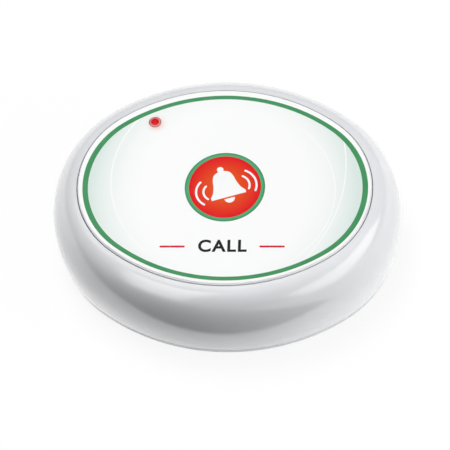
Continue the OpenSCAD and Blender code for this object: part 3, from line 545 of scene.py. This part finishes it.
# Plain word under the disc, with a short rule on either side
def wordAndRules():
    font = bpy.data.curves.new("call_word", "FONT")
    font.body = callWord["text"]
    font.size = callWord["size"] * mm
    font.space_character = callWord["spacing"]
    font.align_x = "CENTER"
    font.align_y = "CENTER"
    font.extrude = (printing["coat"] + printing["sunk"]) / 2 * mm
    font.offset = callWord["bolder"] * mm
    drawn = bpy.data.objects.new("call_word_drawn", font)
    bpy.context.scene.collection.objects.link(drawn)
    bpy.context.view_layer.update()
    bm = bmesh.new()
    bm.from_mesh(drawn.to_mesh())
    drawn.to_mesh_clear()
    bpy.data.objects.remove(drawn)
    bmesh.ops.remove_doubles(bm, verts=bm.verts[:], dist=touching)
    lift = film["top"] + (printing["coat"] - printing["sunk"]) / 2
    turn = Matrix.Rotation(math.radians(callWord["turn"]), 4, "Z")
    bm.transform(Matrix.Translation(Vector((*callWord["centre"], lift)) * mm) @ turn)
    placePiece("call_word", bm, inkMaterials["letterBlack"], "key")
    near, far = callWord["ruleGap"], callWord["ruleGap"] + callWord["ruleLength"]
    half, steps = callWord["ruleWidth"] / 2, callWord["ruleEndSteps"]
    ends = [math.pi / 2 * (step / steps - 1) for step in range(2 * steps + 1)]
    for name, side in (("left", -1), ("right", 1)):
        loop = [(far + half * math.cos(t), half * math.sin(t)) for t in ends]
        loop += [(near - half * math.cos(t), -half * math.sin(t)) for t in ends]
        loop = [(side * x, y) for x, y in loop]
        printCoat("rule_" + name, [turnedLoop(loop, callWord["turn"], callWord["centre"])], "ruleRed")


greenRing()
redDisc()
bellSign()
wordAndRules()
print("film printed")


# Turns a profile of radius and height about the vertical
def turnProfile(profile, steps):
    bm = bmesh.new()
    line = [bm.verts.new((radius * mm, 0, height * mm)) for radius, height in profile]
    edges = [bm.edges.new(pair) for pair in zip(line, line[1:])]
    bmesh.ops.spin(bm, geom=line + edges, cent=(0, 0, 0), axis=(0, 0, 1), angle=2 * math.pi, steps=steps)
    bmesh.ops.remove_doubles(bm, verts=bm.verts[:], dist=touching)
    return bm


def lampLens():
    low, high = ledLow.z / mm, ledHigh.z / mm
    flange, edge = (ledHigh.x - ledLow.x) / 2 / mm, lens["flangeEdge"]
    flangeTop = low + lens["flangeHeight"]
    shoulder = high - lens["shoulder"]
    neck = shoulder - lens["crownHeight"]
    turns = [math.pi / 2 * step / lens["crownSteps"] for step in range(lens["crownSteps"])]
    crown = [(lens["topRadius"] * math.cos(t), shoulder + lens["shoulder"] * math.sin(t)) for t in turns]
    profile = [
        (0, low), (flange - edge, low), (flange, low + edge), (flange, flangeTop - edge),
        (flange - edge, flangeTop), (lens["radius"], flangeTop), (lens["radius"], neck), *crown, (0, high),
    ]
    turned = turnProfile(profile, lens["steps"])
    piece = placePiece("lamp_lens", turned, slotMaterials["lens_red"], "housing",
                       at=(*film["lamp"], 0), smooth=True)
    piece.modifiers.new("crisp edges", "EDGE_SPLIT").split_angle = math.radians(lens["crispAngle"])
    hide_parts("indicator_led")


lampLens()

springLow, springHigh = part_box("return_springs")
returnSpring = {"wire": 0.48, "diameter": 5.0, "turns": 5, "steps": 20, "sides": 8}


# Four coiled springs of round wire
def returnSprings():
    wire, sides = returnSpring["wire"], returnSpring["sides"]
    reach = (returnSpring["diameter"] - wire) / 2
    low, high = springLow.z / mm + wire / 2, springHigh.z / mm - wire / 2
    halfX = springHigh.x / mm - returnSpring["diameter"] / 2
    halfY = springHigh.y / mm - returnSpring["diameter"] / 2
    count = returnSpring["turns"] * returnSpring["steps"]
    section = roundLoop((reach, 0), wire / 2, sides)
    bm = bmesh.new()
    for x, y in ((-halfX, -halfY), (-halfX, halfY), (halfX, -halfY), (halfX, halfY)):
        rings = []
        for step in range(count + 1):
            angle = 2 * math.pi * step / returnSpring["steps"]
            lift = low + (high - low) * step / count
            points = [(x + far * math.cos(angle), y + far * math.sin(angle), lift + rise)
                      for far, rise in section]
            rings.append([bm.verts.new(Vector(point) * mm) for point in points])
        for first, second in zip(rings, rings[1:]):
            for i in range(sides):
                j = (i + 1) % sides
                bm.faces.new((first[i], first[j], second[j], second[i]))
        bm.faces.new(rings[0])
        bm.faces.new(rings[-1])
    piece = placePiece("coiled_springs", bm, slotMaterials["spring_steel"], "housing",
                       smooth=True)
    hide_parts("return_springs")
    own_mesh(piece)


returnSprings()

# Joins the facets of the two other coils and rounds their wire
for name in ("antenna_coil", "contact_spring"):
    wound = frame["nodes"][name]
    wound.modifiers.new("joined facets", "WELD").merge_threshold = touching
    rounding = wound.modifiers.new("round wire", "SUBSURF")
    rounding.levels = 1
    rounding.render_levels = 1

screwLow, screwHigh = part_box("case_screws")
caseScrew = {
    "head": 2.5, "headHeight": 1.8, "shank": 1.25, "tip": 0.5, "edge": 0.25, "edgeSteps": 6, "steps": 44,
    "crossLength": 2.9, "crossWidth": 0.62, "crossDepth": 1.1, "crossTaper": 0.72, "punchOver": 0.1,
    "turned": (0.4, 0.9),  # radians, added or taken off by where a screw stands, so that no two match
    "crispAngle": 35,
}


# Cross-shaped punch that leaves the drive recess
def crossPunch(low):
    bm = bmesh.new()
    reach, half = caseScrew["crossLength"] / 2, caseScrew["crossWidth"] / 2
    quarter = [(reach, -half), (reach, half), (half, half)]
    loop = []
    for turn in range(4):
        loop += [tuple(Matrix.Rotation(math.pi / 2 * turn, 2) @ Vector(point)) for point in quarter]
    rings = []
    for height, share in ((low - caseScrew["punchOver"], 1.0),
                          (low + caseScrew["crossDepth"], caseScrew["crossTaper"])):
        rings.append([bm.verts.new((x * share * mm, y * share * mm, height * mm)) for x, y in loop])
    bm.faces.new(rings[0])
    bm.faces.new(rings[1])
    for i in range(len(loop)):
        j = (i + 1) % len(loop)
        bm.faces.new((rings[0][i], rings[0][j], rings[1][j], rings[1][i]))
    bmesh.ops.recalc_face_normals(bm, faces=bm.faces[:])
    return bm


# Pan head screws, driven from below, each with its cross recess
def caseScrews():
    low, high = screwLow.z / mm, screwHigh.z / mm
    under = low + caseScrew["headHeight"]
    edge, head, shank, tip = [caseScrew[name] for name in ("edge", "head", "shank", "tip")]
    turns = [math.pi / 2 * step / caseScrew["edgeSteps"] for step in range(caseScrew["edgeSteps"] + 1)]
    rounding = [(head - edge + edge * math.sin(t), low + edge - edge * math.cos(t)) for t in turns]
    profile = [
        (0, low), *rounding, (head, under),
        (shank, under), (shank, high - tip), (shank - tip, high), (0, high),
    ]
    halfX = (screwHigh.x - screwLow.x) / 2 / mm - head
    halfY = (screwHigh.y - screwLow.y) / 2 / mm - head
    steel = slotMaterials["zinc_steel"]
    turned = turnProfile(profile, caseScrew["steps"])
    blank = placePiece("case_screw_blank", turned, steel, "housing")
    punch = placePiece("case_screw_punch", crossPunch(low), steel, "housing")
    cut = blank.modifiers.new("recess", "BOOLEAN")
    cut.object = punch
    cut.operation = "DIFFERENCE"
    cut.solver = "EXACT"
    bpy.context.view_layer.update()
    shaped = bpy.data.meshes.new_from_object(blank.evaluated_get(bpy.context.evaluated_depsgraph_get()))
    bpy.data.objects.remove(blank)
    bpy.data.objects.remove(punch)
    turnX, turnY = caseScrew["turned"]
    bm = bmesh.new()
    for signX in (-1, 1):
        for signY in (-1, 1):
            screw = shaped.copy()
            spot = Vector((signX * halfX, signY * halfY, 0)) * mm
            screw.transform(Matrix.Translation(spot) @ Matrix.Rotation(turnX * signX + turnY * signY, 4, "Z"))
            bm.from_mesh(screw)
            bpy.data.meshes.remove(screw)
    piece = placePiece("cross_screws", bm, steel, "housing", smooth=True)
    piece.modifiers.new("crisp edges", "EDGE_SPLIT").split_angle = math.radians(caseScrew["crispAngle"])
    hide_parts("case_screws")


caseScrews()
print("lamp, springs and screws made")

studio = {  # lengths in metres, angles in degrees
    "floorHalf": 1.5, "floorDrop": 0.00005,  # a hair below the feet, so that the faces never coincide
    "cardBack": -0.043, "cardRight": 0.0461,  # edges of the dark card that lies in front and to the left
    "sheet": "f4f4f4", "card": "0c0c0d", "white": "ffffff", "sheetGlow": 0.87,
    "aimHeight": 0.012,  # the soft boxes face a spot halfway up the case
    "zenith": 0.68, "horizon": 0.28, "domeRise": (0.65, 0.98),
    "flag": (-0.077, 0.513, 0.855), "flagReach": (13, 21), "flagShade": 0.1,  # keeps glare off the print
}


# White sheet with a dark card on it: seen straight it is white with the soft shadow on it,
# and the front of the case mirrors the card; from below the sheet is open, which leaves the underside in view
def studioFloor():
    bm = bmesh.new()
    half = studio["floorHalf"]
    corners = [(-half, -half), (half, -half), (half, half), (-half, half)]
    bm.faces.new([bm.verts.new((x, y, -studio["floorDrop"])) for x, y in corners])
    mesh = bpy.data.meshes.new("studio_floor")
    bm.to_mesh(mesh)
    bm.free()
    floor = bpy.data.objects.new("studio_floor", mesh)
    bpy.context.scene.collection.objects.link(floor)
    material = bpy.data.materials.new("whiteSheet")
    material.use_nodes = True
    tree = material.node_tree
    tree.nodes.clear()
    place = addNode(tree, "ShaderNodeTexCoord").outputs["Object"]
    parts = addNode(tree, "ShaderNodeSeparateXYZ", None, {"Vector": place})
    behind = addNode(tree, "ShaderNodeMath", {"operation": "GREATER_THAN", 1: studio["cardBack"]},
                     {0: parts.outputs["Y"]})
    beside = addNode(tree, "ShaderNodeMath", {"operation": "GREATER_THAN", 1: studio["cardRight"]},
                     {0: parts.outputs["X"]})
    onSheet = addNode(tree, "ShaderNodeMath", {"operation": "MAXIMUM"},
                      {0: behind.outputs[0], 1: beside.outputs[0]})
    tone = addNode(tree, "ShaderNodeMix", {"data_type": "RGBA", 6: hexToLinear(studio["card"]),
                   7: hexToLinear(studio["sheet"])}, {0: onSheet.outputs[0]})
    bounce = addNode(tree, "ShaderNodeBsdfDiffuse", None, {"Color": tone.outputs[2]})
    mirrored = addNode(tree, "ShaderNodeEmission", None, {"Strength": onSheet.outputs[0]})
    shadowed = addNode(tree, "ShaderNodeBsdfDiffuse", {"Color": hexToLinear(studio["white"])})
    white = addNode(tree, "ShaderNodeEmission", {"Strength": 1.0})
    seen = addNode(tree, "ShaderNodeMixShader", {0: studio["sheetGlow"]},
                   {1: shadowed.outputs[0], 2: white.outputs[0]})
    path = addNode(tree, "ShaderNodeLightPath")
    cleared = addNode(tree, "ShaderNodeMath", {"operation": "MAXIMUM"},
                      {0: path.outputs["Is Glossy Ray"], 1: path.outputs["Is Transmission Ray"]})
    indirect = addNode(tree, "ShaderNodeMixShader", None,
                       {0: cleared.outputs[0], 1: bounce.outputs[0], 2: mirrored.outputs[0]})
    surface = addNode(tree, "ShaderNodeMixShader", None,
                      {0: path.outputs["Is Camera Ray"], 1: indirect.outputs[0], 2: seen.outputs[0]})
    below = addNode(tree, "ShaderNodeNewGeometry").outputs["Backfacing"]
    clear = addNode(tree, "ShaderNodeBsdfTransparent")
    oneSided = addNode(tree, "ShaderNodeMixShader", None,
                       {0: below, 1: surface.outputs[0], 2: clear.outputs[0]})
    addNode(tree, "ShaderNodeOutputMaterial", None, {"Surface": oneSided.outputs[0]})
    mesh.materials.append(material)


# Soft dome: bright overhead and dim at the horizon, with a flag hung behind; seen straight it is white,
# while the case mirrors the dome itself
def studioDome():
    world = bpy.data.worlds.new("studioDome")
    bpy.context.scene.world = world
    world.use_nodes = True
    tree = world.node_tree
    tree.nodes.clear()
    way = addNode(tree, "ShaderNodeTexCoord").outputs["Generated"]
    parts = addNode(tree, "ShaderNodeSeparateXYZ", None, {"Vector": way})
    lowest, highest = studio["domeRise"]
    rise = addNode(tree, "ShaderNodeMapRange", {"interpolation_type": "SMOOTHSTEP", "From Min": lowest,
                   "From Max": highest, "To Min": studio["horizon"], "To Max": studio["zenith"]},
                   {"Value": parts.outputs["Z"]})
    towards = addNode(tree, "ShaderNodeVectorMath", {"operation": "DOT_PRODUCT", 1: studio["flag"]}, {0: way})
    full, gone = [math.cos(math.radians(angle)) for angle in studio["flagReach"]]
    flag = addNode(tree, "ShaderNodeMapRange", {"interpolation_type": "SMOOTHSTEP", "From Min": gone,
                   "From Max": full, "To Min": 1.0, "To Max": studio["flagShade"]},
                   {"Value": towards.outputs["Value"]})
    strength = addNode(tree, "ShaderNodeMath", {"operation": "MULTIPLY"},
                       {0: rise.outputs[0], 1: flag.outputs[0]})
    light = addNode(tree, "ShaderNodeBackground", None, {"Strength": strength.outputs[0]})
    white = addNode(tree, "ShaderNodeBackground", {"Strength": 1.0, "Color": hexToLinear(studio["white"])})
    path = addNode(tree, "ShaderNodeLightPath")
    seen = addNode(tree, "ShaderNodeMath", {"operation": "MAXIMUM"},
                   {0: path.outputs["Is Camera Ray"], 1: path.outputs["Is Transmission Ray"]})
    surface = addNode(tree, "ShaderNodeMixShader", None,
                      {0: seen.outputs[0], 1: light.outputs[0], 2: white.outputs[0]})
    addNode(tree, "ShaderNodeOutputWorld", None, {"Surface": surface.outputs[0]})


def softBox(name, spec):
    lamp = bpy.data.lights.new(name, "AREA")
    lamp.shape = "RECTANGLE"
    lamp.size, lamp.size_y = spec["size"]
    lamp.energy = spec["glow"] * math.pi * lamp.size * lamp.size_y
    box = bpy.data.objects.new(name, lamp)
    bpy.context.scene.collection.objects.link(box)
    bearing, rise = math.radians(spec["bearing"]), math.radians(spec["rise"])
    out = Vector((math.cos(rise) * math.cos(bearing), math.cos(rise) * math.sin(bearing), math.sin(rise)))
    box.location = Vector((0, 0, studio["aimHeight"])) + out * spec["away"]
    level = (-out).to_track_quat("-Z", "Y").to_matrix()
    box.rotation_euler = (level @ Matrix.Rotation(math.radians(spec["roll"]), 3, "Z")).to_euler()
    box.visible_camera = False
    box.visible_diffuse = spec["shines"]
    box.visible_glossy = spec["mirrored"]


# Where each box stands, seen from the case, in degrees and metres, how wide and high it is and how bright
# it looks; one that shines lights the case, and one that is mirrored shows in its gloss
softBoxes = {
    "key_box": {"bearing": 127, "rise": 70, "roll": 0, "away": 1.0,
                "size": (0.525, 0.525), "glow": 7.7, "shines": True, "mirrored": False},
    "right_box": {"bearing": -24.5, "rise": 20, "roll": 23.7, "away": 0.75,
                  "size": (1.07, 0.46), "glow": 2.03, "shines": True, "mirrored": True},
    "left_box": {"bearing": 235.4, "rise": 37.6, "roll": 3.8, "away": 0.75,
                 "size": (0.4, 0.75), "glow": 2.0, "shines": False, "mirrored": True},
}

studioFloor()
studioDome()
for name, spec in softBoxes.items():
    softBox(name, spec)

cameraSpec = {  # places in millimetres, matched to the photograph's view
    "at": (69.2, -465.0, 779.4), "aim": (-0.18, -4.0, 12.0), "roll": -5.47, "lens": 291.5, "sensor": 36.0,
}


def photoCamera():
    data = bpy.data.cameras.new("photo_camera")
    data.lens = cameraSpec["lens"]
    data.sensor_width = cameraSpec["sensor"]
    camera = bpy.data.objects.new("photo_camera", data)
    bpy.context.scene.collection.objects.link(camera)
    camera.location = Vector(cameraSpec["at"]) * mm
    level = (Vector(cameraSpec["aim"]) * mm - camera.location).to_track_quat("-Z", "Y").to_matrix()
    roll = Matrix.Rotation(math.radians(cameraSpec["roll"]), 3, "Z")
    camera.rotation_euler = (level @ roll).to_euler()
    bpy.context.scene.camera = camera


photoCamera()
bpy.context.scene.view_settings.view_transform = "Standard"
print("studio ready")

bpy.context.view_layer.update()
